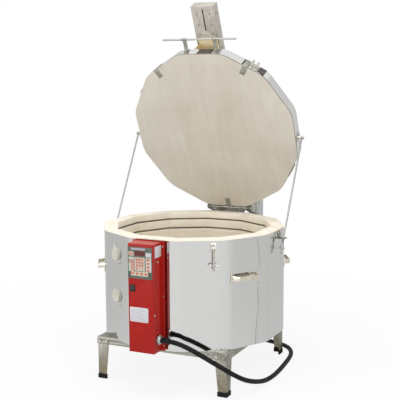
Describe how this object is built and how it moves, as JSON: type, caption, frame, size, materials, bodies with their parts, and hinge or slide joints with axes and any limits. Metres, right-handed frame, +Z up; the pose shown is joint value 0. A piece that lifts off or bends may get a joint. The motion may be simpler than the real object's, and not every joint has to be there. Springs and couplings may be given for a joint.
{
  "type": "ceramic kiln",
  "caption": "Top-loading twelve-sided electric kiln in a steel jacket on a legged stand, lid open, with a wall control box and a power cord.",
  "frame": {"origin": "on the floor under the axis of the twelve-sided body", "axes": "+Z up, -Y the front with the control box, +Y the hinge side, +X the right side seen from the front"},
  "size_m": [0.9406, 1.1399, 1.7766],
  "materials": {
    "firebrick": "porous insulating firebrick, cream",
    "stainless": "satin stainless sheet",
    "polished": "polished stainless sheet",
    "galvanised": "galvanised steel",
    "zinc": "zinc-plated steel",
    "nickel": "nickel-plated steel",
    "red_paint": "red powder coat",
    "silver_paint": "silver-grey powder coat",
    "rubber": "black rubber",
    "cord_black": "black cord jacket",
    "resistance_wire": "oxidised resistance wire",
    "ceramic": "fired ceramic",
    "panel_green": "grey-green printed panel",
    "display": "dark red display window",
    "keys": "membrane keys",
    "black_plastic": "black plastic",
    "label": "blank label film",
    "board": "circuit board",
    "iron": "laminated core and windings"
  },
  "bodies": {
    "kiln": {"stand_rails": "galvanised", "stand_legs": "galvanised", "rubber_feet": "rubber", "stand_bolts": "zinc", "base_plate": "galvanised", "floor_slab": "firebrick", "brick_row_1": "firebrick", "brick_row_2": "firebrick", "brick_row_3": "firebrick", "brick_row_4": "firebrick", "heating_elements": "resistance_wire", "thermocouple": "ceramic", "jacket": "stainless", "jacket_seam": "stainless", "jacket_screws": "nickel", "peephole_rings": "polished", "lift_handles": "nickel", "latch_bracket": "zinc", "rod_guides": "zinc", "masts": "galvanised", "mast_brackets": "galvanised", "hinge_rod": "zinc", "control_back_plate": "red_paint", "control_cover": "red_paint", "controller_panel": "panel_green", "display_window": "display", "keypad": "keys", "rocker_frame": "black_plastic", "label_plates": "label", "cover_screws": "zinc", "circuit_board": "board", "transformer": "iron", "relays": "black_plastic", "terminal_block": "black_plastic", "cable_gland": "zinc", "cord": "cord_black", "plug": "cord_black"},
    "lid": {"lid_slab": "firebrick", "lid_band": "polished", "lid_clips": "galvanised", "handle_bar": "nickel", "handle_brackets": "nickel", "boom": "silver_paint", "boom_cover": "silver_paint", "boom_saddles": "zinc", "hinge_levers": "galvanised", "lid_bolts": "zinc", "latch_keeper": "zinc", "rod_pivots": "zinc"},
    "pull_rod_left": {"pull_rod_left": "zinc", "lid_spring_left": "zinc"},
    "pull_rod_right": {"pull_rod_right": "zinc", "lid_spring_right": "zinc"},
    "support_rod_left": {"support_rod_left": "zinc"},
    "support_rod_right": {"support_rod_right": "zinc"},
    "swing_bolt": {"swing_bolt": "zinc"},
    "wing_nut": {"wing_nut": "zinc"},
    "peephole_plug_upper": {"peephole_plug_upper": "ceramic"},
    "peephole_plug_lower": {"peephole_plug_lower": "ceramic"},
    "rocker": {"rocker": "black_plastic"}
  },
  "joints": [
    {"name": "lid_hinge", "type": "hinge", "parent": "kiln", "child": "lid", "pos_m": [0, 0.45071, 0.7304], "axis": [1, 0, 0], "range_deg": [0, 65.86], "stiffness_Nm_per_rad": 59, "springref_deg": -22.35, "deforming": ["lid_spring_left", "lid_spring_right"]},
    {"name": "pull_rod_left_pivot", "type": "hinge", "parent": "lid", "child": "pull_rod_left", "pos_m": [-0.11, 0.54135, 0.67169], "axis": [1, 0, 0], "range_deg": [-65.9, 0]},
    {"name": "pull_rod_right_pivot", "type": "hinge", "parent": "lid", "child": "pull_rod_right", "pos_m": [0.11, 0.54135, 0.67169], "axis": [1, 0, 0], "range_deg": [-65.9, 0]},
    {"name": "support_rod_left_pivot", "type": "hinge", "parent": "lid", "child": "support_rod_left", "pos_m": [-0.45431, 0.28039, 1.12167], "axis": [1, 0, 0], "range_deg": [-32.7, 0]},
    {"name": "support_rod_right_pivot", "type": "hinge", "parent": "lid", "child": "support_rod_right", "pos_m": [0.45431, 0.28039, 1.12167], "axis": [1, 0, 0], "range_deg": [-32.7, 0]},
    {"name": "latch_swing", "type": "hinge", "parent": "kiln", "child": "swing_bolt", "pos_m": [0.2733, -0.36737, 0.676], "axis": [-0.866, -0.5, 0], "range_deg": [0, 180]},
    {"name": "wing_nut_turn", "type": "hinge", "parent": "swing_bolt", "child": "wing_nut", "pos_m": [0.2733, -0.36737, 0.596], "axis": [0, 0, 1], "continuous": true},
    {"name": "peephole_plug_upper_pull", "type": "slide", "parent": "kiln", "child": "peephole_plug_upper", "axis": [-0.5, -0.866, 0], "range_m": [0, 0.075]},
    {"name": "peephole_plug_lower_pull", "type": "slide", "parent": "kiln", "child": "peephole_plug_lower", "axis": [-0.5, -0.866, 0], "range_m": [0, 0.075]},
    {"name": "power_rocker", "type": "hinge", "parent": "kiln", "child": "rocker", "pos_m": [-0.05, -0.51631, 0.5005], "axis": [1, 0, 0], "range_deg": [0, 16]}
  ],
  "couplings": [
    {"joint": "pull_rod_left_pivot", "follows": "lid_hinge", "ratio": -1},
    {"joint": "pull_rod_right_pivot", "follows": "lid_hinge", "ratio": -1},
    {"joint": "support_rod_left_pivot", "follows": "lid_hinge", "ratio": -0.495},
    {"joint": "support_rod_right_pivot", "follows": "lid_hinge", "ratio": -0.495}
  ]
}
